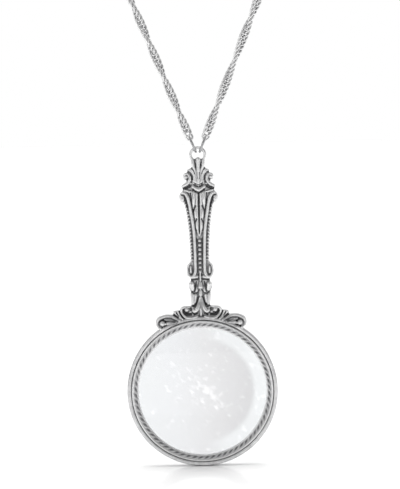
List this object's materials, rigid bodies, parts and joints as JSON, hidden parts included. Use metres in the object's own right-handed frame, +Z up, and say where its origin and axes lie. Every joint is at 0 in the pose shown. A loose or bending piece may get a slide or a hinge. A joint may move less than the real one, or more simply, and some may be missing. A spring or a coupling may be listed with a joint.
{
  "type": "magnifier pendant",
  "caption": "Long chain necklace with a hanging magnifier: a cast scrolled handle holds a round rimmed magnifying lens.",
  "frame": {"origin": "middle of the neck opening, level with the sides of the neck", "axes": "+Z up, the pendant's front faces -Y, +X to the viewer's right"},
  "size_m": [0.158, 0.1526, 0.3172],
  "materials": {
    "cast_metal": "silver-tone cast relief, polished on its high places and dark in its recesses",
    "bezel_metal": "silver-tone milled ring with dark recesses",
    "ring_metal": "polished silver-tone wire",
    "chain_metal": "bright silver-tone links",
    "lens_glass": "clear polished glass"
  },
  "bodies": {
    "necklace": {"jump_ring_left": "ring_metal", "jump_ring_right": "ring_metal", "chain_left": "chain_metal", "chain_right": "chain_metal", "clasp": "ring_metal"},
    "pendant": {"frame": "cast_metal", "bezel": "bezel_metal", "lens": "lens_glass"}
  },
  "joints": [
    {"name": "pendant_swing", "type": "hinge", "parent": "necklace", "child": "pendant", "pos_m": [0, -0.08, -0.18], "axis": [1, 0, 0], "range_deg": [-80, 80]}
  ]
}
